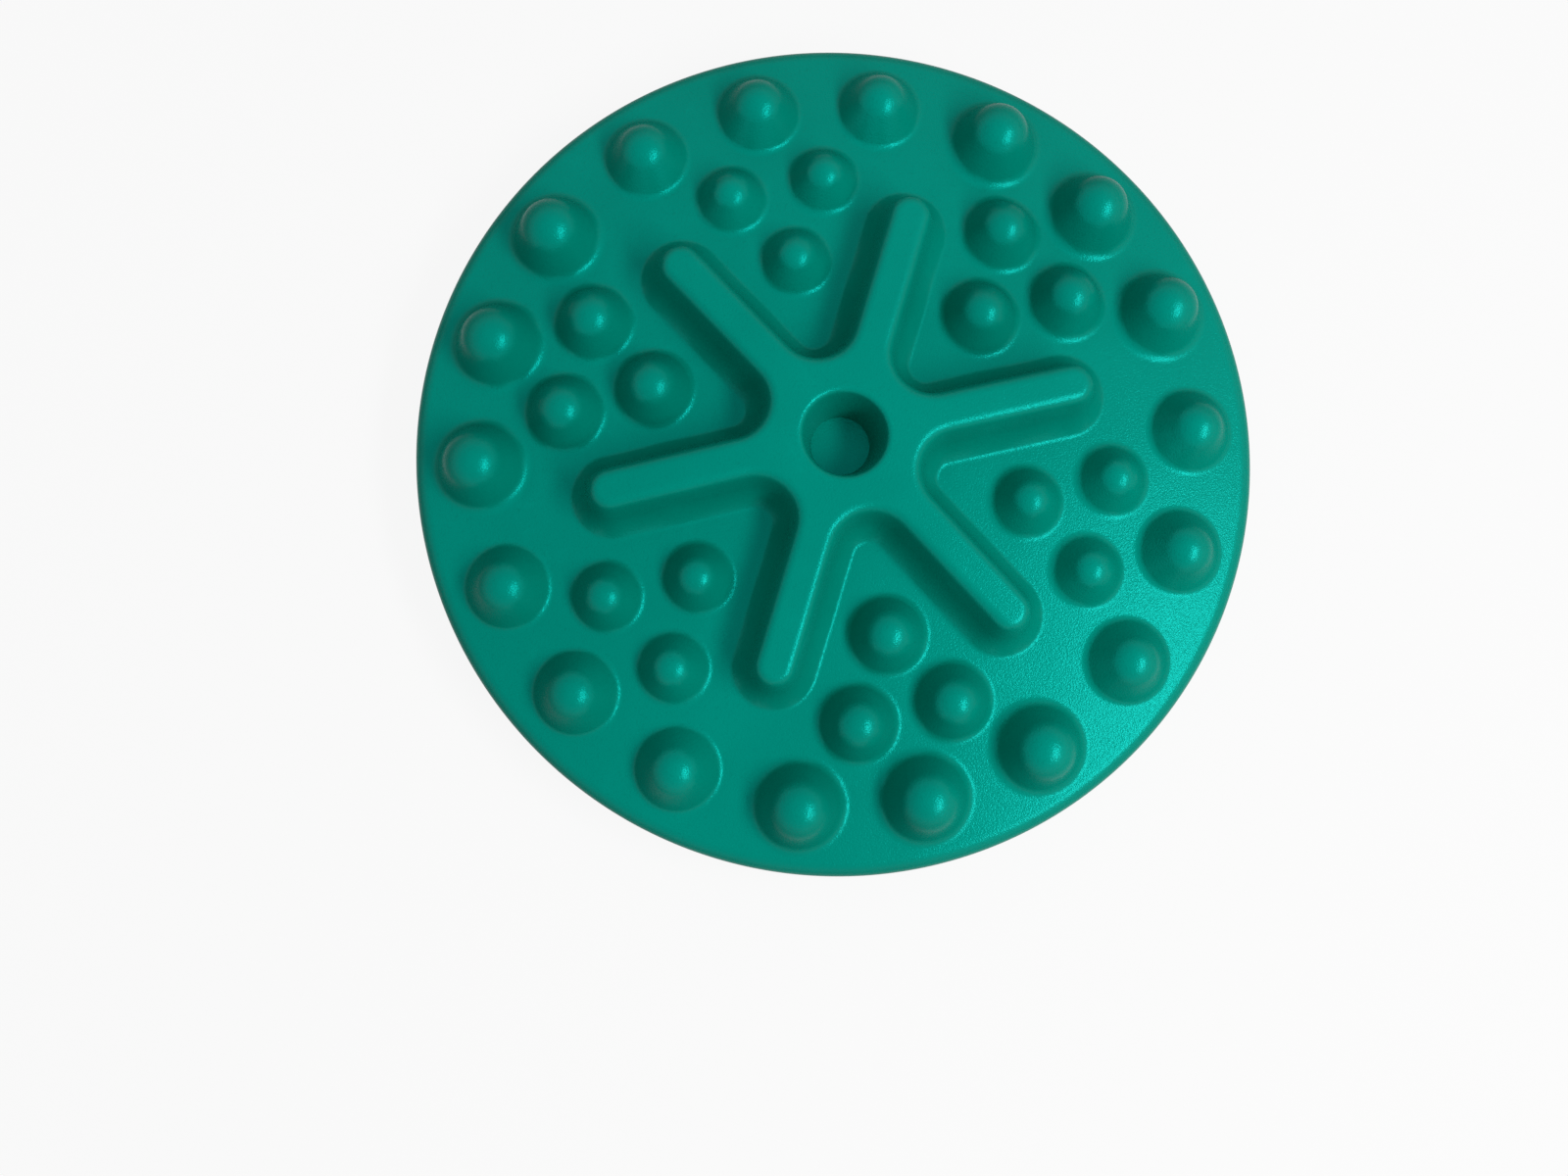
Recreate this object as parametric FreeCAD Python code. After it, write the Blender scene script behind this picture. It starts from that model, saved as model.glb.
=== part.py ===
import FreeCAD, Part
import math
import os

# A round, air-filled balance pad of soft moulded plastic. Its top has a six-armed star with a
# tapered blind socket in the hub, and six sectors of round knobs that are large and small by
# turns. A stopper in the rim lets the air in and out. Millimetres and degrees.
# The origin is the middle of the resting face, +Z is up, +X runs along one arm of the star,
# and the stopper points along -Y.

# Whole pad
pad_diameter = 330.0
skin_wall = 2.5
crown_radius = 1410.0           # sphere that the plate between the knobs follows
upper_shoulder_radius = 6.5     # tight turn from the plate down to the joint line
lower_shoulder_radius = 10.0    # turn from the side to the resting face
rim_bands = 2                   # bevels that each of the two turns is made of
side_draft = 5.0                # the side leans in from the joint line down
tongue_wall_share = 0.5         # share of the wall that the tongue of the lap joint takes
cut_overrun = 1.0               # how far a cutting form runs past what it cuts
edge_match_share = 1e-6         # closeness, as a share of a radius, at which an edge lies on it

# Star
arm_count = 6
star_height = 21.4              # from the plate to the top of the star, all along the arms
arm_top_width = 14.0
arm_draft = 14.2
valley_radius = 15.6            # rounding between two arms, at the top
arm_tip_share = 0.646           # place of the arm's round end, as a share of the outer ring
star_edge_bevel = 1.7
star_foot_bevel = 3.0

# Socket in the hub
socket_depth = 26.5
socket_floor_radius = 11.0
socket_draft = 8.0
socket_mouth_bevel = 1.8
socket_floor_bevel = 1.8

# Knobs: the outer ring has three in each sector, and inside it stand a pair and a single one
knob_draft = 6.0
rim_margin = 1.9                # from the outer knobs' feet to the rounded shoulder
outer_per_sector = 3
pair_ring_share = 0.771
single_ring_share = 0.542
foot_room_share = 0.45          # most of a gap between two knobs that one flared foot takes
dome_bands = 3                  # bevels that a knob's dome is made of, under its flat top
dome_top_angle = 78.0           # where the dome ends in its small flat top
knob_sides = 12                 # flat sides of a knob, few enough to keep so many knobs light
large_outer = {"dome": 12.0, "height": 18.5, "foot": 6.0}
small_outer = {"dome": 10.0, "height": 15.0, "foot": 5.0}
large_inner = {"dome": 9.8, "height": 15.0, "foot": 5.0}
small_inner = {"dome": 8.4, "height": 12.5, "foot": 4.2}

# Valve in the rim
stopper_head_radius = 6.5
stopper_head_thickness = 2.2
stopper_head_rounding = 0.8
stopper_nail_chamfer = 0.7      # bevel under the head, for a fingernail
stopper_stem_length = 12.0
stopper_tip_chamfer = 1.2
stopper_neck_depth = 0.6        # the stem is this much thinner between its ribs
stopper_rib_length = 2.4
stopper_rib_count = 2
pocket_clearance = 0.5
pocket_depth = 4.2
seat_bore_radius = 3.6
seat_running_clearance = 0.05
seat_sleeve_radius = 5.0
seat_collar_clearance = 0.06    # around the sleeve's collar in the skin
seat_flange_step = 2.0          # keeps the flange inside the boss and clear of the lower skin
seat_flange_thickness = 2.0
seat_nose_length = 8.0
seat_nose_wall = 1.8
valve_margin = 0.5              # between the boss and the joint line

# Worked out from the sizes above
pad_radius = pad_diameter / 2
pocket_radius = stopper_head_radius + pocket_clearance
boss_radius = pocket_radius + skin_wall
valve_height = boss_radius + skin_wall
joint_height = valve_height + boss_radius + valve_margin
shoulder_centre_radius = pad_radius - upper_shoulder_radius
crown_centre_height = joint_height - math.sqrt(
    (crown_radius - upper_shoulder_radius) ** 2 - shoulder_centre_radius ** 2
)
plate_height = crown_centre_height + crown_radius
star_top_height = plate_height + star_height
tongue_depth = skin_wall
sector_angle = 360.0 / arm_count

up = FreeCAD.Vector(0, 0, 1)
origin = FreeCAD.Vector(0, 0, 0)
crown_centre = FreeCAD.Vector(0, 0, crown_centre_height)


def sin(degrees):
    return math.sin(math.radians(degrees))


def cos(degrees):
    return math.cos(math.radians(degrees))


def tan(degrees):
    return math.tan(math.radians(degrees))


def at(radius, height):
    """A point of a turned profile."""
    return FreeCAD.Vector(radius, 0, height)


def on_circle(centre, radius, angle):
    """A point of a profile's arc, by its angle above the horizontal."""
    return centre + FreeCAD.Vector(radius * cos(angle), 0, radius * sin(angle))


def line(start, end):
    return Part.LineSegment(start, end).toShape()


def corners(centre, radius, start_angle, end_angle, count):
    """A round stretch of a profile as the ends of a few straight bevels."""
    step = (end_angle - start_angle) / count
    return [on_circle(centre, radius, start_angle + step * number) for number in range(count + 1)]


def lines(points):
    """A profile's straight edges from point to point."""
    return [line(first, second) for first, second in zip(points, points[1:])]


def turned(edges, axis_point=origin, axis=up):
    """The solid that a closed profile makes when it is turned about an axis."""
    return Part.Face(Part.Wire(edges)).revolve(axis_point, axis, 360)


def crown_ball(radius):
    """A sphere about the crown's centre, with its seam on the under side, clear of every cut."""
    ball = Part.makeSphere(radius, crown_centre, FreeCAD.Vector(1, 0, 0))
    ball.rotate(crown_centre, FreeCAD.Vector(1, 0, 0), 180)
    return ball


def edges_on_sphere(shape, radius, within):
    """The edges of a shape that lie on a sphere about the crown's centre, inside a radius."""
    found = []
    for edge in shape.Edges:
        first, last = edge.ParameterRange
        points = [edge.valueAt(first + share * (last - first)) for share in (0, 0.3, 0.7, 1)]
        misses = [abs(point.distanceToPoint(crown_centre) - radius) for point in points]
        reach = max(math.hypot(point.x, point.y) for point in points)
        if max(misses) < radius * edge_match_share and reach < within:
            found.append(edge)
    return found


# The crowned top, set in from its outside by an offset
def crown_form(offset, base_height):
    shoulder_centre = at(shoulder_centre_radius, joint_height)
    shoulder_angle = math.degrees(
        math.atan2(joint_height - crown_centre_height, shoulder_centre_radius)
    )
    shoulder = corners(shoulder_centre, upper_shoulder_radius - offset, 0, shoulder_angle, rim_bands)
    past_shoulder = shoulder[-1] + (shoulder[-1] - shoulder[-2])
    over_plate = plate_height + cut_overrun
    profile = [at(0, base_height)]
    if base_height < joint_height:
        profile += [at(pad_radius - offset, base_height)]
    profile += shoulder + [past_shoulder, at(past_shoulder.x, over_plate), at(0, over_plate)]
    return turned(lines(profile + profile[:1])).common(crown_ball(crown_radius - offset))


# The star, as a drafted prism that is cut off by a sphere about the crown's centre
def arm_half_width(height, offset):
    """Half the width of an arm at a height over the top of the star, set in by an offset."""
    return arm_top_width / 2 - height * tan(arm_draft) - offset / cos(arm_draft)


def star_outline(half_width, height, tip_radius):
    """One closed line round the star: two flanks, a round tip and a rounded valley for each arm."""
    half_angle = sector_angle / 2
    valley_place = (arm_top_width / 2 + valley_radius) / sin(half_angle)
    valley = valley_place * sin(half_angle) - half_width
    lift = FreeCAD.Vector(0, 0, height)
    edges = []
    for arm in range(arm_count):
        angle = arm * sector_angle
        along = FreeCAD.Vector(cos(angle), sin(angle), 0)
        across = FreeCAD.Vector(-sin(angle), cos(angle), 0)
        next_across = FreeCAD.Vector(-sin(angle + sector_angle), cos(angle + sector_angle), 0)
        before = FreeCAD.Vector(cos(angle - half_angle), sin(angle - half_angle), 0)
        after = FreeCAD.Vector(cos(angle + half_angle), sin(angle + half_angle), 0)
        flank_start = before * valley_place + across * valley + lift
        tip_start = along * tip_radius - across * half_width + lift
        tip_middle = along * (tip_radius + half_width) + lift
        tip_end = along * tip_radius + across * half_width + lift
        valley_start = after * valley_place - across * valley + lift
        valley_middle = after * (valley_place - valley) + lift
        valley_end = after * valley_place + next_across * valley + lift
        edges += [
            line(flank_start, tip_start),
            Part.Arc(tip_start, tip_middle, tip_end).toShape(),
            line(tip_end, valley_start),
            Part.Arc(valley_start, valley_middle, valley_end).toShape(),
        ]
    return Part.Wire(edges)


def star_form(offset, tip_radius):
    """The star from inside the plate up to its crowned top, set in by an offset."""
    over = cut_overrun
    foot = -(star_height + plate_height - joint_height)
    wires = [
        star_outline(arm_half_width(height, offset), star_top_height + height, tip_radius)
        for height in (foot, over)
    ]
    prism = Part.makeLoft(wires, True, True)
    return prism.common(crown_ball(crown_radius + star_height - offset))


# Knobs, each turned about an axis through the crown's centre, so its foot runs into the plate
def dome_centre(knob):
    return at(0, plate_height + knob["height"] - knob["dome"])


def knob_side_radius(knob, height):
    """Radius of a knob's drafted side at a height above the plate."""
    side_top = on_circle(dome_centre(knob), knob["dome"], knob_draft)
    return side_top.x + (side_top.z - plate_height - height) * tan(knob_draft)


def foot_reach(radius):
    """How far a flared foot reaches out from a drafted side."""
    return radius * tan((90 - knob_draft) / 2)


def foot_points(knob, radius):
    """Where a foot that flares by a radius leaves the side, and where it meets the crown."""
    side_top = on_circle(dome_centre(knob), knob["dome"], knob_draft)
    outward = FreeCAD.Vector(cos(knob_draft), 0, sin(knob_draft))
    down = FreeCAD.Vector(sin(knob_draft), 0, -cos(knob_draft))
    from_crown = side_top + outward * radius - crown_centre
    along = from_crown.dot(down)
    reach = (crown_radius + radius) ** 2 - from_crown.dot(from_crown)
    centre = crown_centre + from_crown - down * (along + math.sqrt(along ** 2 + reach))
    side = centre - outward * radius
    crown = centre + (crown_centre - centre).normalize() * radius
    return side, crown


def knob_form(knob, foot_radius):
    """A knob on the middle of the plate: flared foot, drafted side and bevelled dome."""
    side, crown = foot_points(knob, foot_radius)
    dome = corners(dome_centre(knob), knob["dome"], knob_draft, dome_top_angle, dome_bands)
    root = crown + (crown - side).normalize() * cut_overrun
    rings = [knob_ring(level) for level in [root, side] + dome]
    faces = [Part.Face(Part.makePolygon(ring)) for ring in (rings[0], rings[-1])]
    for lower, upper in zip(rings, rings[1:]):
        for number in range(knob_sides):
            panel = [lower[number], lower[number + 1], upper[number + 1], upper[number], lower[number]]
            faces.append(Part.Face(Part.makePolygon(panel)))
    return Part.Solid(Part.Shell(faces))


def knob_ring(level):
    """The corners of a knob's flat-sided section, from a point of its profile."""
    angles = [number * 360 / knob_sides for number in range(knob_sides)]
    ring = [FreeCAD.Vector(level.x * cos(angle), level.x * sin(angle), level.z) for angle in angles]
    return ring + ring[:1]


def knob_places():
    """Every knob as its sizes, its ring's radius and its angle."""
    outer_step = sector_angle / outer_per_sector
    pair_ring = outer_ring_radius * pair_ring_share
    single_ring = outer_ring_radius * single_ring_share
    places = []
    for sector in range(arm_count):
        outer, inner = (large_outer, large_inner) if sector % 2 == 0 else (small_outer, small_inner)
        middle = (sector + 0.5) * sector_angle
        for step in (-1, 0, 1):
            places.append((outer, outer_ring_radius, middle + step * outer_step))
        for side in (-0.5, 0.5):
            places.append((inner, pair_ring, middle + side * outer_step))
        places.append((inner, single_ring, middle))
    return places


def placed(shape, ring_radius, angle):
    """A shape made on the middle of the plate, swung about the crown's centre to its place."""
    swing = math.degrees(math.asin(ring_radius / crown_radius))
    shape.rotate(crown_centre, FreeCAD.Vector(0, 1, 0), swing)
    shape.rotate(origin, up, angle)
    return shape


def middle_of(place):
    return FreeCAD.Vector(place[1] * cos(place[2]), place[1] * sin(place[2]), 0)


def foot_flare(place, places):
    """A knob's flared foot, or less where the gap to its nearest neighbour has no room for it."""
    own = knob_side_radius(place[0], 0)
    gaps = [
        middle_of(place).distanceToPoint(middle_of(other)) - own - knob_side_radius(other[0], 0)
        for other in places if other is not place
    ]
    return min(place[0]["foot"], min(gaps) * foot_room_share / foot_reach(1))


outer_ring_radius = (
    shoulder_centre_radius - rim_margin
    - knob_side_radius(large_outer, 0) - foot_reach(large_outer["foot"])
)


def knob_forms():
    places = knob_places()
    return [
        placed(knob_form(place[0], foot_flare(place, places)), place[1], place[2])
        for place in places
    ]


# Socket, as a tapered plug set out from its wall by an offset
def socket_form(offset, top_height):
    floor_height = star_top_height - socket_depth - offset
    floor_radius = socket_floor_radius + offset * (1 / cos(socket_draft) - tan(socket_draft))
    top_radius = floor_radius + (top_height - floor_height) * tan(socket_draft)
    return Part.makeCone(floor_radius, top_radius, top_height - floor_height, at(0, floor_height))


def bevelled_socket(shape):
    """Cuts the socket, then bevels its mouth and the corner of its floor."""
    shape = shape.cut(socket_form(0, star_top_height + cut_overrun))
    floor_height = star_top_height - socket_depth
    mouth = edges_on_sphere(shape, crown_radius + star_height, valley_radius + arm_top_width / 2)
    shape = shape.makeChamfer(socket_mouth_bevel, mouth)
    floor = [
        edge for edge in shape.Edges
        if abs(edge.BoundBox.ZMax - floor_height) < floor_height * edge_match_share
        and edge.BoundBox.XMax < socket_floor_radius + cut_overrun
    ]
    return shape.makeChamfer(socket_floor_bevel, floor)


# Lower skin, set in from its outside by an offset
def lower_form(offset, top_height):
    tangent_height = lower_shoulder_radius * (1 - sin(side_draft))
    tangent_radius = pad_radius - (joint_height - tangent_height) * tan(side_draft)
    centre = at(tangent_radius - lower_shoulder_radius * cos(side_draft), lower_shoulder_radius)
    radius = lower_shoulder_radius - offset
    side_foot = on_circle(centre, radius, -side_draft)
    rise = top_height - side_foot.z
    side_top = side_foot + FreeCAD.Vector(rise * tan(side_draft), 0, rise)
    shoulder = corners(centre, radius, -90, -side_draft, rim_bands)
    profile = [at(0, offset)] + shoulder + [side_top, at(0, top_height)]
    return turned(lines(profile + profile[:1]))


# Valve, made about an axis that points out of the rim along +X, then turned to its side
valve_axis_point = at(0, valve_height)
valve_axis = FreeCAD.Vector(1, 0, 0)
pocket_floor = pad_radius - pocket_depth
pocket_back = pocket_floor - skin_wall
valve_side = -90.0


def valve_turned(points):
    """A piece turned about the valve's axis, from points given as (place along it, radius)."""
    profile = [FreeCAD.Vector(along, 0, valve_height + radius) for along, radius in points]
    return turned(lines(profile + profile[:1]), valve_axis_point, valve_axis)


def valve_cylinder(radius, start, end):
    return Part.makeCylinder(radius, end - start, at(start, valve_height), valve_axis)


def to_valve_side(shape):
    shape.rotate(origin, up, valve_side)
    return shape


def make_skins():
    """The upper and lower skin, which meet in a lap joint at the pad's widest line."""
    arm_tip_radius = outer_ring_radius * arm_tip_share

    outside = crown_form(0, joint_height).fuse(star_form(0, arm_tip_radius))
    star_reach = arm_tip_radius + arm_top_width + star_height
    top_edges = edges_on_sphere(outside, crown_radius + star_height, star_reach)
    outside = outside.makeChamfer(star_edge_bevel, top_edges)
    foot_edges = edges_on_sphere(outside, crown_radius, star_reach)
    outside = outside.makeChamfer(star_foot_bevel, foot_edges)
    outside = bevelled_socket(outside).multiFuse(knob_forms())

    inside = crown_form(skin_wall, joint_height - cut_overrun)
    inside = inside.fuse(star_form(skin_wall, arm_tip_radius))
    inside = inside.cut(socket_form(skin_wall, star_top_height))
    upper = outside.cut(inside)

    boss = valve_cylinder(boss_radius, pocket_back, pad_radius).common(lower_form(0, joint_height))
    boss = to_valve_side(boss)

    # The tongue is notched where it meets the boss behind the valve's pocket
    lower = lower_form(0, joint_height).cut(lower_form(skin_wall, joint_height + cut_overrun))
    tongue_radius = pad_radius - skin_wall * tongue_wall_share
    tongue_zone = Part.makeCylinder(tongue_radius, tongue_depth, at(0, joint_height - tongue_depth))
    tongue = lower.common(tongue_zone).cut(boss)
    upper = upper.fuse(tongue).removeSplitter()

    lower = lower.cut(tongue_zone).fuse(boss)
    pocket = valve_cylinder(pocket_radius, pocket_floor, pad_radius + cut_overrun)
    lower = lower.cut(to_valve_side(pocket))
    hole_radius = seat_sleeve_radius + seat_collar_clearance
    hole = valve_cylinder(hole_radius, pocket_back - cut_overrun, pocket_floor + cut_overrun)
    lower = lower.cut(to_valve_side(hole)).removeSplitter()
    return upper, lower


def make_valve_seat():
    """The soft sleeve: its collar fills the hole in the pocket, its flange sits behind it."""
    flange_radius = boss_radius - seat_flange_step
    flange_back = pocket_back - seat_flange_thickness
    nose_end = flange_back - seat_nose_length
    nose_radius = seat_bore_radius + seat_nose_wall
    return to_valve_side(valve_turned([
        (pocket_floor, seat_bore_radius),
        (pocket_floor, seat_sleeve_radius),
        (pocket_back, seat_sleeve_radius),
        (pocket_back, flange_radius),
        (flange_back, flange_radius),
        (flange_back, nose_radius),
        (nose_end, nose_radius),
        (nose_end, seat_bore_radius),
    ]))


def make_valve_stopper():
    """The stopper: a bevelled head on the pocket's floor and a ribbed stem in the sleeve."""
    stem_radius = seat_bore_radius - seat_running_clearance
    neck_radius = stem_radius - stopper_neck_depth
    stem_end = pocket_floor - stopper_stem_length
    head_face = pocket_floor + stopper_head_thickness
    pitch = (stopper_stem_length - stopper_tip_chamfer) / (stopper_rib_count + 0.5)
    points = [
        (head_face, 0),
        (head_face, stopper_head_radius - stopper_head_rounding),
        (head_face - stopper_head_rounding, stopper_head_radius),
        (pocket_floor + stopper_nail_chamfer, stopper_head_radius),
        (pocket_floor, stopper_head_radius - stopper_nail_chamfer),
    ]
    for rib in range(stopper_rib_count):
        rib_start = pocket_floor - rib * pitch
        points += [
            (rib_start, stem_radius),
            (rib_start - stopper_rib_length, stem_radius),
            (rib_start - stopper_rib_length, neck_radius),
            (rib_start - pitch, neck_radius),
        ]
    points += [
        (pocket_floor - stopper_rib_count * pitch, stem_radius),
        (stem_end + stopper_tip_chamfer, stem_radius),
        (stem_end, stem_radius - stopper_tip_chamfer),
        (stem_end, 0),
    ]
    return to_valve_side(valve_turned(points))


os.makedirs("parts", exist_ok=True)
upper_skin, lower_skin = make_skins()
pieces = {
    "upper_skin": upper_skin,
    "lower_skin": lower_skin,
    "valve_seat": make_valve_seat(),
    "valve_stopper": make_valve_stopper(),
}
for name, shape in pieces.items():
    solids = shape.Solids
    assert shape.isValid() and len(solids) == 1, name
    solids[0].exportStep(f"parts/{name}.step")
    print(name, "volume", round(solids[0].Volume / 1000, 1), "cm3")
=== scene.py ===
import math

import bmesh
import bpy
import numpy as np
from bpy.props import FloatProperty, FloatVectorProperty, IntProperty, PointerProperty
from bpy.types import Operator, Panel, PropertyGroup
from mathutils import Matrix, Vector
from mathutils.geometry import delaunay_2d_cdt
from mathutils.kdtree import KDTree


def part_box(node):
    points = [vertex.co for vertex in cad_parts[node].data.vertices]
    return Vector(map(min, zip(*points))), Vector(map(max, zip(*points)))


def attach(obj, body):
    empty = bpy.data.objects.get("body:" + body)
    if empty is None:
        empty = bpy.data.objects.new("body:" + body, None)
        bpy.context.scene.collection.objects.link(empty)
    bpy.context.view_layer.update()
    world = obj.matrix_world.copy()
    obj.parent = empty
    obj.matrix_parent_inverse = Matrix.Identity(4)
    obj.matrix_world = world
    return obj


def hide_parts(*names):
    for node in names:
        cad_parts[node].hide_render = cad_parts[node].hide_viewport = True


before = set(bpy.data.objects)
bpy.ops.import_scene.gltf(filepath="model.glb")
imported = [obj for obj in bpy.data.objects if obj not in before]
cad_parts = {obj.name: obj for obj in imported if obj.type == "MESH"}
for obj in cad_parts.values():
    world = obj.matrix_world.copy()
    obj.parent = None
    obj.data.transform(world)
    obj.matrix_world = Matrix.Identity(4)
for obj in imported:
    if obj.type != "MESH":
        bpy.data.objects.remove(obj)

# An air-filled balance pad of soft moulded vinyl: a crowned top with a six-armed star, a socket
# in its hub and six sectors of round knobs, a flat underside with nubs, and a valve in the rim.
# Metres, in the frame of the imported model: +Z up, +X along one arm, the valve on -Y.

bl_info = {
    "name": "Balance pad",
    "version": (1, 0, 0),
    "blender": (4, 5, 0),
    "location": "View3D > Sidebar > Balance pad",
    "description": "Builds an air-filled balance pad with knobs, a star and a valve",
    "category": "Object",
}

PAD_BODY = "pad"
STOPPER_BODY = "stopper"
VALVE_TURN = math.radians(-90)
VALVE_SIDES = 96

# How near a point lies to count as on a surface, on a seam or in the same place
ON_SURFACE, ON_SEAM, SAME_PLACE = 2e-6, 1e-6, 1e-7

# Least room round a new point: shares of the edge row's distance and of the spacing
EDGE_ROOM, GRID_ROOM, ROW_ROOM = 0.8, 0.6, 0.6

# Open window round the valve in each side: its first row, its end and half its facets
OUTER_WINDOW, INNER_WINDOW = (0, 20, 6), (0, 21, 6)

# A nub's profile: shares of its radius and of its height
NUB_SHARES = ((1.0, 0.0), (0.86, 0.25), (0.72, 0.7), (0.45, 0.94), (0.0, 1.0))

# Spacing of the triangles on the open surfaces, and of the row along their edges
PLATE_SPACING, STAR_SPACING, CROWN_GUARD = 0.0048, 0.0032, 0.0007
FIELD_SPACING, FIELD_GUARD = 0.006, 0.0005
VALVE_SPACING, VALVE_GUARD = 0.002, 0.0006

# Cells of grain in a metre, roughness and depth of the grain
SKIN_FINISH = (1700.0, 0.26, 0.00009)
SLEEVE_FINISH = (3000.0, 0.5, 0.00003)
STOPPER_FINISH = (3400.0, 0.36, 0.00002)

# Rubbed marks, and the painted shade and extra roughness in the grain's pits: strength, share of the
# main colour and change of roughness
RUBBED, PIT_SHADE_AND_ROUGHNESS = (0.35, 1.15, -0.05), (0.5, 0.82, 0.10)

# Depth of the moulding's slow waves
WAVE_DEPTH = 0.0012

# The mirroring of a face seen straight on, what it loses at a low angle, and where it does so
MIRRORING, MIRRORING_LOSS, LOW_ANGLE = 0.5, 0.46, (0.1, 0.4)

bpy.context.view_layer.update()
_, upper_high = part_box("upper_skin")
_, lower_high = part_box("lower_skin")
seat_low, seat_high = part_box("valve_seat")
stopper_low, stopper_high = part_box("valve_stopper")


# Properties
def plain(kind, **settings):
    """A short way to write a property with these settings."""
    def made(name, description, default):
        return kind(name=name, description=description, default=default, **settings)
    return made


length = plain(FloatProperty, unit="LENGTH", precision=5)
share = plain(FloatProperty, min=0, max=2, subtype="FACTOR")
power = plain(FloatProperty, unit="POWER")
count = plain(IntProperty, min=1)
colour = plain(FloatVectorProperty, subtype="COLOR", size=3)
point_in_space = plain(FloatVectorProperty, unit="LENGTH", size=3)


def angle(name, description, degrees):
    return plain(FloatProperty, subtype="ANGLE")(name, description, math.radians(degrees))


class PadSizes(PropertyGroup):
    """The pad as a whole."""
    radius: length("Radius", "From the middle to the widest line", upper_high[0])
    joint_height: length("Joint height", "Height of the joint between the skins", lower_high[2])
    crown_radius: length("Crown", "Radius of the sphere that the plate follows", 1.41)
    upper_shoulder: length("Upper shoulder", "Turn from the plate down to the joint", 0.0065)
    lower_shoulder: length("Lower shoulder", "Turn from the side to the resting face", 0.010)
    side_draft: angle("Side draft", "How far the side leans in towards the floor", 5)
    wall: length("Wall", "Thickness of the skins", 0.0025)
    joint_groove: length("Joint groove", "Depth and half width of the line between the skins", 0.0004)
    sides: count("Sides", "Facets round the rim", 360)


class StarSizes(PropertyGroup):
    """The raised star and the socket in its hub."""
    arms: count("Arms", "Number of arms", 6)
    height: length("Height", "From the plate to the top of the star", 0.0214)
    top_width: length("Top width", "Width of an arm at its top", 0.014)
    draft: angle("Draft", "Lean of an arm's flanks", 14.2)
    valley: length("Valley", "Rounding between two arms at the top", 0.0156)
    tip_share: share("Tip place", "Place of an arm's round end over the outer ring's radius", 0.646)
    edge: length("Edge", "Rounding of the top edge", 0.0042)
    foot_width: length("Foot width", "From an arm's middle to the edge of its flared foot", 0.0174)
    flare_height: length("Flare height", "Height at which the flank begins to flare", 0.010)
    crease: length("Crease", "Rounding at the foot's edge", 0.0030)
    foot_slope: angle("Foot slope", "Slope of the flank just above the foot's edge", 38)
    socket_depth: length("Socket depth", "From the top of the star to the socket's floor", 0.0265)
    socket_radius: length("Socket radius", "Radius of the socket at its floor", 0.0108)
    socket_draft: angle("Socket draft", "Lean of the socket's wall", 11)
    socket_edge: length("Socket edge", "Rounding of the socket's mouth", 0.0024)
    socket_corner: length("Socket corner", "Rounding between the socket's wall and floor", 0.0016)


def knob_form(name, default):
    parts = "Dome radius, height, foot radius and foot rounding"
    return plain(FloatVectorProperty, unit="LENGTH", size=4)(name, parts, default)


class KnobSizes(PropertyGroup):
    """The knobs: their domes, heights and feet, and the rings that they stand in."""
    large_outer: knob_form("Large outer", (0.0124, 0.0196, 0.0200, 0.0048))
    small_outer: knob_form("Small outer", (0.0115, 0.0150, 0.0182, 0.0036))
    large_inner: knob_form("Large inner", (0.0106, 0.0156, 0.0174, 0.0042))
    small_inner: knob_form("Small inner", (0.0092, 0.0128, 0.0158, 0.0042))
    outer_ring: length("Outer ring", "Radius of the ring that the outer knobs stand in", 0.138448)
    outer_per_sector: count("Outer knobs", "Knobs of the outer ring in each sector", 3)
    pair_share: share("Pair ring", "Radius of the ring of pairs over that of the outer ring", 0.771)
    single_share: share("Single ring", "Radius of the ring of single knobs over the outer ring's", 0.542)
    foot_gap: length("Foot gap", "Least width of plate between two feet", 0.0004)
    sides: count("Sides", "Facets round a knob", 64)


class UndersideSizes(PropertyGroup):
    """The resting ring and the nubbed field inside it."""
    ring_width: length("Ring width", "Width of the smooth ring that the pad rests on", 0.008)
    recess: length("Recess", "How far the field lies above the floor, and the height of a nub", 0.001)
    nub_radius: length("Nub radius", "Radius of a nub at its foot", 0.0023)
    nub_pitch: length("Nub pitch", "Spacing of the nubs", 0.0115)


class ValveSizes(PropertyGroup):
    """The pocket in the rim, the soft sleeve and its stopper."""
    height: length("Height", "Height of the valve's axis", (seat_low[2] + seat_high[2]) / 2)
    head_radius: length("Head radius", "Radius of the stopper's head", stopper_high[0])
    head_face: length("Head face", "Place of the head's outer face", -stopper_low[1])
    stem_end: length("Stem end", "Place of the stopper's inner end", -stopper_high[1])
    pocket_floor: length("Pocket floor", "Place of the pocket's floor", -seat_low[1])
    seat_end: length("Sleeve end", "Place of the sleeve's inner end", -seat_high[1])
    flange_radius: length("Flange radius", "Radius of the sleeve's flange", seat_high[0])
    flange: length("Flange", "Thickness of the sleeve's flange", 0.002)
    clearance: length("Clearance", "Gap round the head in its pocket", 0.0005)
    pocket_edge: length("Pocket edge", "Rounding of the pocket's mouth", 0.0009)
    sleeve_radius: length("Sleeve radius", "Radius of the sleeve's collar", 0.005)
    bore_radius: length("Bore radius", "Radius of the sleeve's bore", 0.0036)
    nose_radius: length("Nose radius", "Radius of the sleeve's inner end", 0.0054)
    running_gap: length("Running gap", "Gap round the stem in its bore", 0.00005)


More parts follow.
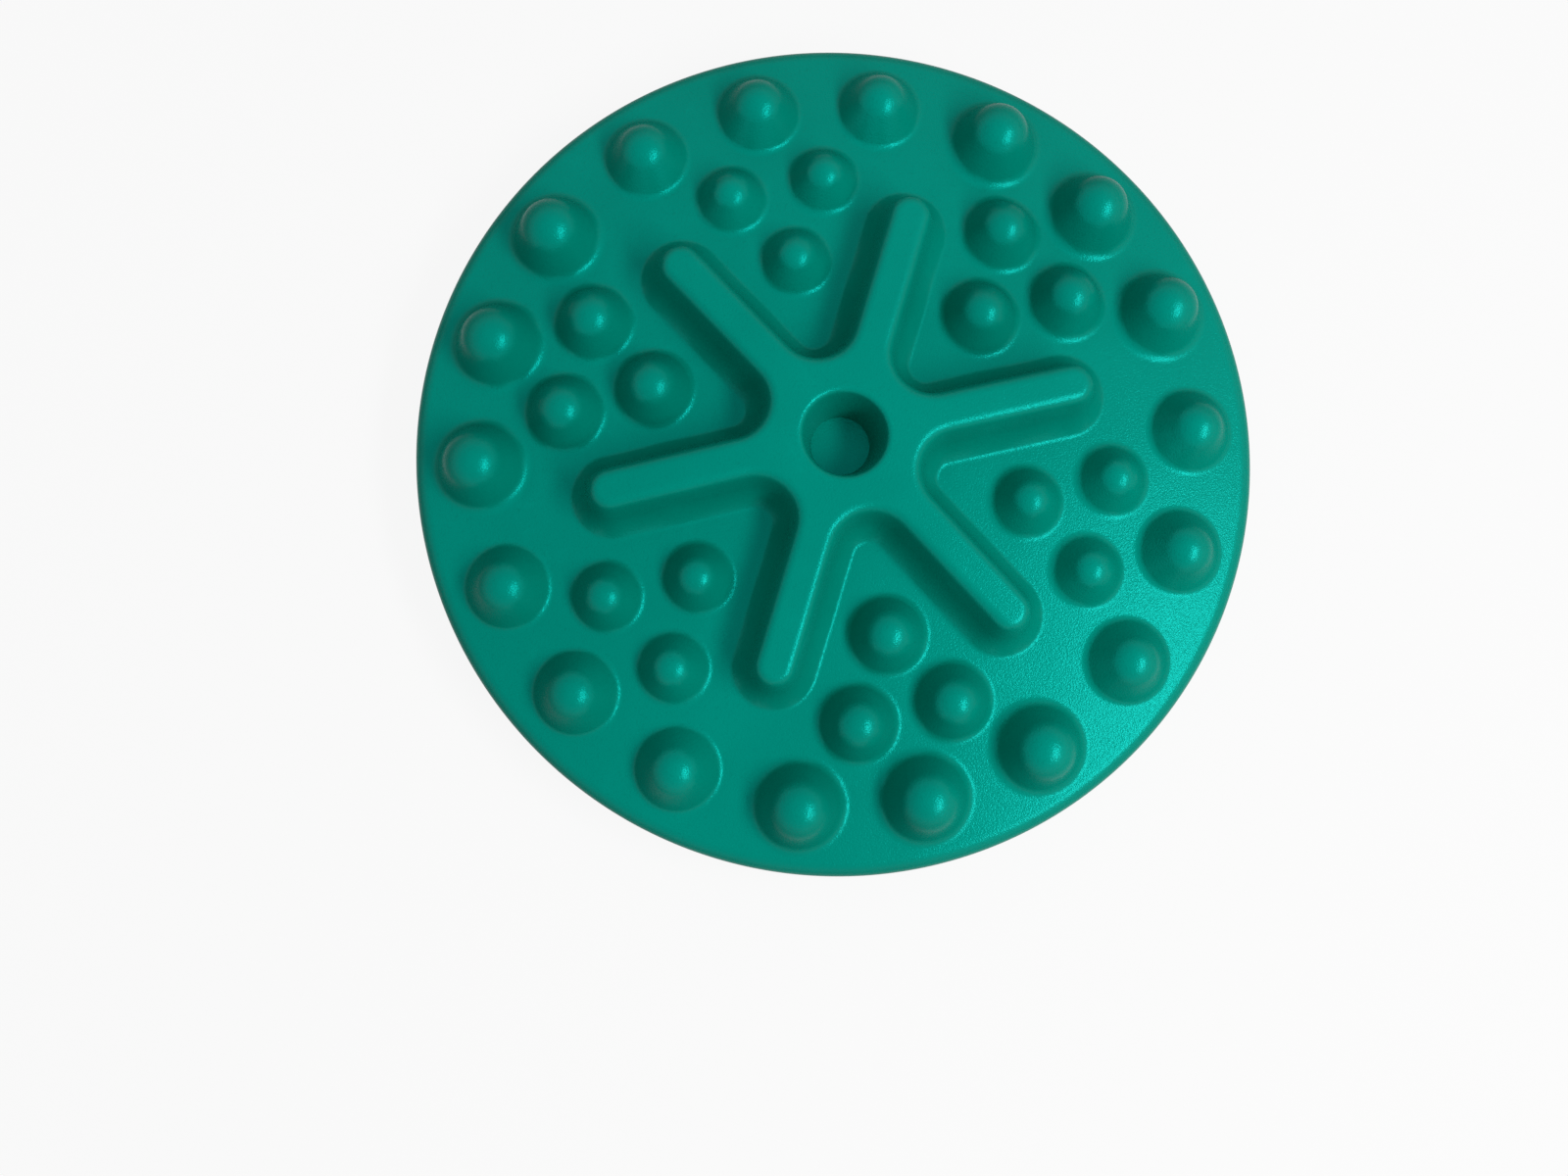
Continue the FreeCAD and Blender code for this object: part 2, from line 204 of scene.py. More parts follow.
class PadColours(PropertyGroup):
    """Colours of the vinyl."""
    vinyl: colour("Vinyl", "Main colour of the skins", (0.0, 0.209, 0.154))
    vinyl_deep: colour("Deep vinyl", "Darker patches of the skins", (0.0, 0.179, 0.130))
    valve: colour("Valve", "Colour of the sleeve", (0.0, 0.15, 0.11))
    stopper: colour("Stopper", "Colour of the stopper", (0.0, 0.19, 0.145))
    glint: colour("Glint", "Tint of the reflections", (0.01, 1.0, 0.93))
    floor: colour("Floor", "Colour of the floor", (0.5, 0.5, 0.5))


class StageSettings(PropertyGroup):
    """Camera, lamps, world and floor."""
    camera_place: point_in_space(
        "Camera place", "Where the camera stands", (-0.0656, -0.0955, 0.5557))
    camera_aim: point_in_space(
        "Camera aim", "The point of the plate in the middle of the picture", (-0.0340, -0.0489, 0.0375))
    camera_up: angle("Camera up", "Bearing of the picture's upper edge, from +X", 76.68)
    lens: plain(FloatProperty)("Lens", "Focal length in millimetres", 31.5)
    key_bearing: angle("Key bearing", "Bearing of the main lamp, from +X", -41)
    key_elevation: angle("Key elevation", "Height of the main lamp over the floor", 52)
    key_distance: length("Key distance", "From the pad to the main lamp", 1.1)
    key_width: length("Key width", "Width of the main lamp", 0.2)
    key_length: length("Key length", "Length of the main lamp, along the picture's height", 0.8)
    key_power: power("Key power", "Main lamp", 9.1)
    top_height: length("Top height", "From the floor to the overhead light", 1.5)
    top_size: length("Top size", "Width of the overhead light", 1.8)
    top_power: power("Top power", "Overhead light", 2.2)
    world_light: share("World light", "Brightness of the light from all sides", 0.44)
    floor_width: length("Floor", "Width of the floor", 6)


def sizes():
    """The settings of the scene by short names."""
    scene = bpy.context.scene
    return scene.pad_sizes, scene.pad_star, scene.pad_knobs, scene.pad_underside, scene.pad_valve


# Worked-out places
def crown_centre_height(pad):
    shoulder = pad.radius - pad.upper_shoulder
    reach = pad.crown_radius - pad.upper_shoulder
    return pad.joint_height - math.sqrt(reach ** 2 - shoulder ** 2)


def crown_height(pad, x, y):
    """Height of the plate over the floor at a place."""
    return crown_centre_height(pad) + math.sqrt(pad.crown_radius ** 2 - x ** 2 - y ** 2)


def sector_angle(star):
    return math.tau / star.arms


def knob_rings(star, knobs):
    """Each ring of like knobs: its knob, radius, first sector and knobs in a sector."""
    outer = knobs.outer_ring
    half = sector_angle(star) / 2
    rings = []
    for first, outer_knob, inner_knob in (
        (half, knobs.large_outer, knobs.large_inner),
        (3 * half, knobs.small_outer, knobs.small_inner),
    ):
        rings += [
            {"knob": tuple(outer_knob), "radius": outer, "first": first, "each": knobs.outer_per_sector},
            {"knob": tuple(inner_knob), "radius": outer * knobs.pair_share, "first": first, "each": 2},
            {"knob": tuple(inner_knob), "radius": outer * knobs.single_share, "first": first, "each": 1},
        ]
    return rings


def ring_angles(ring, star, knobs):
    """Bearings of all knobs of a ring."""
    step = sector_angle(star) / knobs.outer_per_sector
    return [
        ring["first"] + sector * 2 * sector_angle(star) + (place - (ring["each"] - 1) / 2) * step
        for sector in range(star.arms // 2)
        for place in range(ring["each"])
    ]


def foot_for(ring, rings, star, knobs):
    """The radius of a knob's foot, or less where its nearest neighbour leaves no room for it."""
    own = Vector(polar(ring["radius"], ring_angles(ring, star, knobs)[0]))
    foot = ring["knob"][2]
    rooms = [foot]
    for other in rings:
        for turn in ring_angles(other, star, knobs):
            apart = (Vector(polar(other["radius"], turn)) - own).length
            if apart > ring["knob"][0]:
                rooms.append((apart - knobs.foot_gap) * foot / (foot + other["knob"][2]))
    return min(rooms)


# Profiles and meshes
def polar(radius, turn):
    return radius * math.cos(turn), radius * math.sin(turn)


def turns_of(count):
    """Evenly spread angles of a full turn."""
    return [math.tau * number / count for number in range(count)]


def arc(centre, radius, start, end, steps):
    """Points of an arc in a profile's plane, from one angle to another."""
    turns = [start + (end - start) * step / steps for step in range(steps + 1)]
    return [(centre[0] + radius * math.cos(t), centre[1] + radius * math.sin(t)) for t in turns]


def between(first, last, parts):
    """Points that part a straight line into equal parts."""
    return [tuple(Vector(first).lerp(Vector(last), step / parts)) for step in range(1, parts)]


def flank(start, first_pull, last_pull, end, steps):
    """Inner points of a smooth curve between two points, drawn by two pulls."""
    points = []
    for step in range(1, steps):
        t = step / steps
        point = start * (1 - t) ** 3 + first_pull * 3 * t * (1 - t) ** 2
        point += last_pull * 3 * t ** 2 * (1 - t) + end * t ** 3
        points.append(tuple(point))
    return points


def rounded(corners, steps=4):
    """A profile of (x, y, rounding) corners with each rounded corner as a short arc."""
    points = []
    for number, (x, y, radius) in enumerate(corners):
        here = Vector((x, y))
        if not radius:
            points.append((x, y))
            continue
        before = (Vector(corners[number - 1][:2]) - here).normalized()
        after = (Vector(corners[number + 1][:2]) - here).normalized()
        half = before.angle(after) / 2
        centre = here + (before + after).normalized() * (radius / math.sin(half))
        start = here + before * (radius / math.tan(half)) - centre
        end = here + after * (radius / math.tan(half)) - centre
        turn = start.angle_signed(end)
        for step in range(steps + 1):
            point = start.copy()
            point.rotate(Matrix.Rotation(-turn * step / steps, 2))
            points.append(tuple(centre + point))
    return points


def add_rows(bm, rows, closed=True):
    """Joins rows of points by faces. A row of one point closes the end as a fan."""
    made = [[bm.verts.new(point) for point in row] for row in rows]
    for first, second in zip(made, made[1:]):
        places = max(len(first), len(second))
        for here in range(places if closed else places - 1):
            there = (here + 1) % places
            corners = []
            for row, order in ((first, (here, there)), (second, (there, here))):
                corners += [row[0]] if len(row) == 1 else [row[place] for place in order]
            bm.faces.new(corners)
    return made


def turned_rows(profile, sides):
    """Rows of a shape turned about Z from (radius, height) points."""
    return [
        [(*polar(radius, turn), height) for turn in turns_of(sides)] if radius else [(0, 0, height)]
        for radius, height in profile
    ]


def add_turned(bm, profile, sides):
    add_rows(bm, turned_rows(profile, sides))


def as_object(bm, name):
    """Ends a mesh in work as a new object."""
    mesh = bpy.data.meshes.new(name)
    bm.to_mesh(mesh)
    bm.free()
    return bpy.data.objects.new(name, mesh)


def boundary_loops(bm):
    """The open edges of a mesh as closed rounds of vertices."""
    nexts = {}
    for edge in bm.edges:
        if edge.is_boundary:
            for here, there in (edge.verts, reversed(edge.verts)):
                nexts.setdefault(here, []).append(there)
    loops, seen = [], set()
    for start in nexts:
        if start in seen:
            continue
        loop, here, before = [], start, None
        while here not in seen:
            seen.add(here)
            loop.append(here)
            onward = [vert for vert in nexts[here] if vert is not before]
            before, here = here, onward[0]
        loops.append(loop)
    return loops


def loops_on(loops, height_over):
    """The loops that lie on a surface, from how far a point is off it."""
    return [loop for loop in loops if all(abs(height_over(vert.co)) < ON_SURFACE for vert in loop)]


def inside(polygon, points):
    """For each point, whether it lies inside a polygon."""
    start, end = polygon, np.roll(polygon, -1, axis=0)
    x, y = points[:, 0:1], points[:, 1:2]
    spans = (start[:, 1] > y) != (end[:, 1] > y)
    rise = np.where(end[:, 1] == start[:, 1], 1.0, end[:, 1] - start[:, 1])
    cross = start[:, 0] + (y - start[:, 1]) * (end[:, 0] - start[:, 0]) / rise
    return (np.sum(spans & (x < cross), axis=1) % 2) == 1


def signed_area(polygon):
    after = np.roll(polygon, -1, axis=0)
    return 0.5 * np.sum(polygon[:, 0] * after[:, 1] - after[:, 0] * polygon[:, 1])


def point_tree(points):
    """A search tree of points in a plane."""
    tree = KDTree(len(points))
    for number, point in enumerate(points):
        tree.insert((point[0], point[1], 0), number)
    tree.balance()
    return tree


def seen_from_above(point):
    return point.x, point.y


def fill_surface(bm, loops, flat, lift, spacing, guard):
    """Fills the surface between the largest loop and the others, in triangles of about one size.

    flat takes a point in space to the surface's own plane, and lift takes it back.
    """
    flats = [np.array([flat(vert.co) for vert in loop]) for loop in loops]
    order = sorted(range(len(loops)), key=lambda number: -abs(signed_area(flats[number])))
    loops, flats = [loops[number] for number in order], [flats[number] for number in order]
    verts = [vert for loop in loops for vert in loop]
    owner = [number for number, loop in enumerate(loops) for _ in loop]
    points = np.concatenate(flats)
    edges, base = [], 0
    for loop in loops:
        edges += [(base + here, base + (here + 1) % len(loop)) for here in range(len(loop))]
        base += len(loop)

    middles = [(polygon + np.roll(polygon, -1, axis=0)) / 2 for polygon in flats]
    borders = np.concatenate([points] + middles)
    near = point_tree(borders)

    # A row of points close along each loop keeps the shading of the rounded feet off the plate
    extra = []
    for number, polygon in enumerate(flats):
        along = np.roll(polygon, -1, axis=0) - np.roll(polygon, 1, axis=0)
        across = np.stack([along[:, 1], -along[:, 0]], axis=1)
        across /= np.linalg.norm(across, axis=1)[:, None]
        side = math.copysign(1, signed_area(polygon)) * (-1 if number == 0 else 1)
        extra.append(polygon + across * side * guard)
    extra = np.concatenate(extra)
    low, high = flats[0].min(axis=0), flats[0].max(axis=0)
    row_step = spacing * math.sqrt(3) / 2
    rows = np.arange(low[1] + row_step / 2, high[1], row_step)
    grid = [
        [(u, v) for u in np.arange(low[0] + spacing / 2 * (row % 2), high[0], spacing)]
        for row, v in enumerate(rows)
    ]
    chosen = []
    for candidates, room in ((extra, guard * EDGE_ROOM), (np.concatenate(grid), spacing * GRID_ROOM)):
        held = inside(flats[0], candidates)
        for polygon in flats[1:]:
            held &= ~inside(polygon, candidates)
        for point in candidates[held]:
            if near.find((point[0], point[1], 0))[2] >= room:
                chosen.append(point)
    taken = point_tree(chosen)
    kept = []
    for number, point in enumerate(chosen):
        close = [hit[1] for hit in taken.find_range((point[0], point[1], 0), guard * ROW_ROOM)]
        if min(close) == number:
            kept.append(point)

    coords = [Vector(point) for point in points] + [Vector(point) for point in kept]
    out_points, _, faces, origins, _, _ = delaunay_2d_cdt(coords, edges, [], 0, 1e-9)
    out_verts, out_owner = [], []
    for point, origin in zip(out_points, origins):
        source = min(origin) if origin else len(verts)
        if source < len(verts):
            out_verts.append(verts[source])
            out_owner.append(owner[source])
        else:
            out_verts.append(bm.verts.new(lift(point[0], point[1])))
            out_owner.append(None)
    for face in faces:
        owners = {out_owner[corner] for corner in face}
        if len(owners) == 1 and None not in owners:
            loop = owners.pop()
            middle = np.mean([out_points[corner] for corner in face], axis=0)[None, :]
            if inside(flats[loop], middle)[0] != (loop == 0):
                continue
        bm.faces.new([out_verts[corner] for corner in face])


def finished_mesh(bm, name, material, sharp=math.radians(40)):
    """Ends a closed mesh: welds it, turns its faces outwards and shades it smooth but for corners."""
    bmesh.ops.remove_doubles(bm, verts=bm.verts, dist=SAME_PLACE)
    bmesh.ops.recalc_face_normals(bm, faces=bm.faces)
    for face in bm.faces:
        face.smooth = True
    for edge in bm.edges:
        edge.smooth = len(edge.link_faces) != 2 or edge.calc_face_angle(0) < sharp
    piece = as_object(bm, name)
    piece.data.materials.append(material)
    bpy.context.scene.collection.objects.link(piece)
    return piece


# Knobs, set out by Geometry Nodes
def knob_profile(pad, knob, foot):
    """A knob over the crown's centre: its rounded foot, a straight flank and its dome."""
    dome, height, _, crease = knob
    edge = math.asin(foot / pad.crown_radius)
    top = Vector((0, pad.crown_radius + height - dome))
    low = Vector((math.sin(edge), math.cos(edge))) * (pad.crown_radius + crease)
    apart = low - top
    lean = math.atan2(apart.y, apart.x) + math.acos((dome + crease) / apart.length)
    rows = arc(low, crease, 1.5 * math.pi - edge, math.pi + lean, steps=9)
    rise = arc(top, dome, lean, math.pi / 2, steps=14)
    return rows + between(rows[-1], rise[0], parts=5) + rise[:-1] + [(0, top.y + dome)]


def knob_template(pad, knobs, ring):
    """One knob round the upright axis through the crown's centre, which is its origin."""
    bm = bmesh.new()
    add_turned(bm, knob_profile(pad, ring["knob"], ring["foot"]), knobs.sides)
    return as_object(bm, "knob")


def link_value(tree, socket, value):
    """Feeds a socket from another socket, or sets it."""
    if isinstance(value, bpy.types.NodeSocket):
        tree.links.new(value, socket)
    elif value is not None:
        socket.default_value = value


def feed(tree, node, **values):
    """Feeds a node's inputs by name, with a low line for each space in a name."""
    for title, value in values.items():
        link_value(tree, node.inputs[title.replace("_", " ")], value)
    return node


def add_node(tree, kind, **values):
    return feed(tree, tree.nodes.new(kind), **values)


def maths(tree, operation, first, second=None):
    node = tree.nodes.new("ShaderNodeMath")
    node.operation = operation
    link_value(tree, node.inputs[0], first)
    link_value(tree, node.inputs[1], second)
    return node.outputs[0]


def new_tree(name, inputs):
    """An empty geometry tree with named inputs, its input node and its output node."""
    tree = bpy.data.node_groups.new(name, "GeometryNodeTree")
    tree.interface.new_socket("Geometry", in_out="OUTPUT", socket_type="NodeSocketGeometry")
    for title, kind in inputs:
        tree.interface.new_socket(title, in_out="INPUT", socket_type="NodeSocket" + kind)
    return tree, tree.nodes.new("NodeGroupInput"), tree.nodes.new("NodeGroupOutput")


def end_tree(tree, start, end, points, rotation):
    """Puts the object on the points, makes the copies real and gives them their material."""
    given = start.outputs
    source = add_node(tree, "GeometryNodeObjectInfo", Object=given["Object"]).outputs["Geometry"]
    copies = add_node(
        tree, "GeometryNodeInstanceOnPoints", Points=points, Instance=source, Rotation=rotation
    )
    real = add_node(tree, "GeometryNodeRealizeInstances", Geometry=copies.outputs["Instances"])
    finish = add_node(
        tree, "GeometryNodeSetMaterial", Geometry=real.outputs["Geometry"], Material=given["Material"]
    )
    feed(tree, end, Geometry=finish.outputs["Geometry"])


def knob_ring_tree():
    """Sets a knob out round a ring of the crown, a few in each of its sectors."""
    tree, start, end = new_tree("Knob ring", [
        ("Object", "Object"), ("Material", "Material"), ("Crown radius", "Float"),
        ("Crown centre height", "Float"), ("Ring radius", "Float"), ("Count", "Int"),
        ("Knobs in a sector", "Int"), ("First sector", "Float"), ("Sector step", "Float"),
        ("Knob step", "Float"),
    ])
    given = start.outputs
    index = tree.nodes.new("GeometryNodeInputIndex").outputs["Index"]
    sector = maths(tree, "FLOOR", maths(tree, "DIVIDE", index, given["Knobs in a sector"]))
    place = maths(tree, "MODULO", index, given["Knobs in a sector"])
    middle = maths(tree, "MULTIPLY", maths(tree, "SUBTRACT", given["Knobs in a sector"], 1.0), 0.5)
    in_sector = maths(tree, "MULTIPLY", maths(tree, "SUBTRACT", place, middle), given["Knob step"])
    turned = maths(tree, "MULTIPLY", sector, given["Sector step"])
    bearing = maths(tree, "ADD", in_sector, maths(tree, "ADD", turned, given["First sector"]))
    tilt = maths(tree, "ARCSINE", maths(tree, "DIVIDE", given["Ring radius"], given["Crown radius"]))
    turn = add_node(tree, "ShaderNodeCombineXYZ", Y=tilt, Z=bearing).outputs["Vector"]
    rotation = add_node(tree, "FunctionNodeEulerToRotation", Euler=turn)
    centre = add_node(tree, "ShaderNodeCombineXYZ", Z=given["Crown centre height"]).outputs["Vector"]
    points = add_node(tree, "GeometryNodePoints", Count=given["Count"], Position=centre)
    end_tree(tree, start, end, points.outputs["Points"], rotation.outputs["Rotation"])
    return tree


def add_copies(bm, tree, template, material, values):
    """Runs a geometry tree on a template and adds the copies that it sets out to a mesh."""
    given = {"Object": template, "Material": material, **values}
    carrier = bpy.data.objects.new("carrier", bpy.data.meshes.new("carrier"))
    bpy.context.scene.collection.objects.link(carrier)
    modifier = carrier.modifiers.new(tree.name, "NODES")
    modifier.node_group = tree
    for item in tree.interface.items_tree:
        if item.in_out == "INPUT":
            modifier[item.identifier] = given[item.name]
    view = bpy.context.evaluated_depsgraph_get()
    mesh = bpy.data.meshes.new_from_object(carrier.evaluated_get(view))
    carrier.modifiers.remove(modifier)
    bm.from_mesh(mesh)
    bpy.data.meshes.remove(mesh)
    for done in (carrier, template):
        bpy.data.objects.remove(done)


def add_knobs(bm, pad, star, knobs, material):
    tree = knob_ring_tree()
    rings = knob_rings(star, knobs)
    for ring in rings:
        ring["foot"] = foot_for(ring, rings, star, knobs)
        add_copies(bm, tree, knob_template(pad, knobs, ring), material, {
            "Crown radius": pad.crown_radius,
            "Crown centre height": crown_centre_height(pad),
            "Ring radius": ring["radius"],
            "Count": star.arms // 2 * ring["each"],
            "Knobs in a sector": ring["each"],
            "First sector": ring["first"],
            "Sector step": 2 * sector_angle(star),
            "Knob step": sector_angle(star) / knobs.outer_per_sector,
        })


# Star and socket
def star_outline(star, half_width, tip_radius):
    """Points round the star at one half width of its arms."""
    half = sector_angle(star) / 2
    valley_place = (star.top_width / 2 + star.valley) / math.sin(half)
    valley = valley_place * math.sin(half) - half_width
    flank_start = valley_place * math.cos(half)
    flank_steps, round_steps = 16, 14
    points = []
    for arm in range(star.arms):
        turn = Matrix.Rotation(arm * 2 * half, 2)
        side = [
            Vector((flank_start + (tip_radius - flank_start) * step / flank_steps, half_width))
            for step in range(flank_steps)
        ]
        tip = [
            Vector((tip_radius + half_width * math.cos(t), half_width * math.sin(t)))
            for t in (math.pi / 2 * (step / round_steps * 2 - 1) for step in range(round_steps + 1))
        ]
        corner = Vector(polar(valley_place, half))
        reach = math.pi / 2 - half
        valley_arc = [
            corner + Vector(polar(valley, -math.pi / 2 - 2 * reach * step / round_steps))
            for step in range(1, round_steps)
        ]
        round_arm = [Vector((p.x, -p.y)) for p in side] + tip + side[::-1] + valley_arc
        points += [turn @ point for point in round_arm]
    return points


def add_star(bm, pad, star, knobs):
    tip_radius = knobs.outer_ring * star.tip_share
    lean = star.draft
    below_edge = (star.height - star.edge) * math.tan(lean) + star.edge / math.cos(lean)
    edge_width = star.top_width / 2 + star.height * math.tan(lean) - below_edge
    edge = arc((edge_width, star.height - star.edge), star.edge, lean, math.pi / 2, steps=7)
    down = 1.5 * math.pi
    crease = arc((star.foot_width, star.crease), star.crease, down, down - star.foot_slope, steps=5)
    start = Vector(crease[-1])
    end_width = star.top_width / 2 + (star.height - star.flare_height) * math.tan(lean)
    end = Vector((end_width, star.flare_height))
    pull = (end - start).length / 3
    first_pull = start + Vector((-math.cos(star.foot_slope), math.sin(star.foot_slope))) * pull
    last_pull = end - Vector((-math.sin(lean), math.cos(lean))) * pull
    flare = flank(start, first_pull, last_pull, end, steps=8) + [tuple(end)]
    rows = []
    for half_width, height in crease + flare + between(end, edge[0], parts=3) + edge:
        rows.append([
            (point.x, point.y, crown_height(pad, point.x, point.y) + height)
            for point in star_outline(star, half_width, tip_radius)
        ])
    add_rows(bm, rows)


def add_socket(bm, pad, star):
    """The socket's mouth, wall and floor, from the top of the star down."""
    top = crown_height(pad, 0, 0) + star.height
    floor = top - star.socket_depth
    lean, edge = star.socket_draft, star.socket_edge
    mouth_radius = star.socket_radius + star.socket_depth * math.tan(lean) + edge
    mouth_height = crown_height(pad, mouth_radius, 0) + star.height - edge
    wall = star.socket_radius + (mouth_height - floor) * math.tan(lean)
    mouth_centre = (wall + edge / math.cos(lean), mouth_height)
    mouth = arc(mouth_centre, edge, math.pi / 2, math.pi - lean, steps=8)
    small = star.socket_corner
    corner = (star.socket_radius + small * math.tan(lean) - small / math.cos(lean), floor + small)
    foot = arc(corner, small, -lean, -math.pi / 2, steps=5)
    side = between(mouth[-1], foot[0], parts=8)
    bottom = [(corner[0] * step / 3, floor) for step in (2, 1)] + [(0, floor)]
    mouth[0] = (mouth[0][0], crown_height(pad, mouth[0][0], 0) + star.height)
    add_turned(bm, mouth + side + foot + bottom, sides=96)


# Rim and underside
def joint_lip(pad, start, height):
    """The rounded lip of a skin at the joint, from its outside to its face on the joint."""
    groove = pad.joint_groove
    return rounded([(*start, 0), (pad.radius, height, groove), (pad.radius - 3 * groove, height, 0)])


def add_upper_rim(bm, pad):
    """From the plate's edge over the shoulder to the joint, and back inside under the plate."""
    shoulder = (pad.radius - pad.upper_shoulder, pad.joint_height)
    rise = pad.joint_height - crown_centre_height(pad)
    plate_edge = math.atan2(rise, shoulder[0])
    outer = arc(shoulder, pad.upper_shoulder, plate_edge, math.radians(6), steps=14)
    lip_height = pad.joint_height + pad.joint_groove / 4
    lip = joint_lip(pad, outer[-1], lip_height)[1:]
    inner_radius = pad.radius - pad.wall
    crown_inside = pad.crown_radius - pad.wall
    edge_turn = math.asin((shoulder[0] - pad.upper_shoulder) / crown_inside)
    crown_centre = (0, crown_centre_height(pad))
    under = arc(crown_centre, crown_inside, math.pi / 2 - edge_turn, math.pi / 2, steps=8)[:-1]
    inside_wall = [(inner_radius, lip_height), (inner_radius, pad.joint_height + pad.wall / 2)]
    middle = [(0, crown_centre_height(pad) + crown_inside)]
    add_turned(bm, outer + lip + inside_wall + under + middle, pad.sides)


def side_profile(pad, inset):
    """The side and lower shoulder: straight length, arc centre and radius, set in by an inset."""
    lean = pad.side_draft
    tangent_height = pad.lower_shoulder * (1 - math.sin(lean))
    tangent_radius = pad.radius - (pad.joint_height - tangent_height) * math.tan(lean)
    centre = (tangent_radius - pad.lower_shoulder * math.cos(lean), pad.lower_shoulder)
    radius = pad.lower_shoulder - inset
    foot = (centre[0] + radius * math.cos(lean), centre[1] - radius * math.sin(lean))
    return centre, radius, foot


def side_place(pad, inset, height):
    """Length along the side's profile, from the joint down to a height."""
    centre, radius, foot = side_profile(pad, inset)
    lean = pad.side_draft
    straight = (pad.joint_height - foot[1]) / math.cos(lean)
    if height >= foot[1]:
        return (pad.joint_height - height) / math.cos(lean)
    return straight + radius * (math.asin(min((centre[1] - height) / radius, 1)) - lean)


def side_point(pad, inset, place):
    """(radius, height) of the side's profile at a length along it."""
    centre, radius, foot = side_profile(pad, inset)
    lean = pad.side_draft
    straight = (pad.joint_height - foot[1]) / math.cos(lean)
    if place <= straight:
        up = (straight - place) * math.cos(lean)
        return foot[0] + up * math.tan(lean), foot[1] + up
    turn = (place - straight) / radius + lean
    return centre[0] + radius * math.cos(turn), centre[1] - radius * math.sin(turn)


def add_side(bm, pad, inset, ends, window):
    """The side from one length along its profile to another, with a window round the valve."""
    steps = 22
    rows = []
    for step in range(steps + 1):
        radius, height = side_point(pad, inset, ends[0] + (ends[1] - ends[0]) * step / steps)
        rows.append([
            bm.verts.new((*polar(radius, turn), height)) for turn in turns_of(pad.sides)
        ])
    valve = pad.sides * 3 // 4
    for row, (first, second) in enumerate(zip(rows, rows[1:])):
        for here in range(pad.sides):
            there = (here + 1) % pad.sides
            if window[0] <= row < window[1] and -window[2] <= here - valve < window[2]:
                continue
            bm.faces.new((first[here], first[there], second[there], second[here]))
    for row in rows:
        for vert in row:
            if not vert.link_faces:
                bm.verts.remove(vert)
    return rows[0], rows[-1]


def valve_ring(pad, valve, inset, radius, sides):
    """A round about the valve's axis that lies on the side, set in by an inset."""
    points = []
    for turn in turns_of(sides):
        across, height = radius * math.cos(turn), valve.height + radius * math.sin(turn)
        out = side_point(pad, inset, side_place(pad, inset, height))[0]
        points.append((across, -math.sqrt(out ** 2 - across ** 2), height))
    return points


def pocket_rows(pad, valve, sides):
    """Rows of the pocket, from its mouth in the side to the boss inside the wall."""
    pocket = valve.head_radius + valve.clearance
    edge = valve.pocket_edge
    rows = []
    for turn in (math.pi / 2 * step / 5 for step in range(6)):
        ring = valve_ring(pad, valve, 0, pocket + edge * (1 - math.sin(turn)), sides)
        rows.append([(x, y + edge * (1 - math.cos(turn)), z) for x, y, z in ring])
    boss = pocket + 0.6 * pad.wall
    back = valve.pocket_floor - pad.wall
    profile = rounded([
        (pocket, valve.pocket_floor + 2 * edge, 0),
        (pocket, valve.pocket_floor, edge / 2),
        (valve.sleeve_radius, valve.pocket_floor, 0),
        (valve.sleeve_radius, back, 0),
        (boss, back, edge / 2),
        (boss, back + edge, 0),
    ])
    for radius, out in profile:
        rows.append([
            (radius * math.cos(turn), -out, valve.height + radius * math.sin(turn))
            for turn in turns_of(sides)
        ])
    rows.append(valve_ring(pad, valve, pad.wall, boss, sides))
    return rows


def side_window_fill(bm, pad, inset, loops):
    """Fills the side round the valve, in the side's own unrolled plane."""
    def flat(point):
        bearing = math.atan2(point.y, point.x) - VALVE_TURN
        return bearing * pad.radius, side_place(pad, inset, point.z)

    def lift(across, place):
        radius, height = side_point(pad, inset, place)
        bearing = across / pad.radius + VALVE_TURN
        return (*polar(radius, bearing), height)

    fill_surface(bm, loops, flat, lift, VALVE_SPACING, VALVE_GUARD)


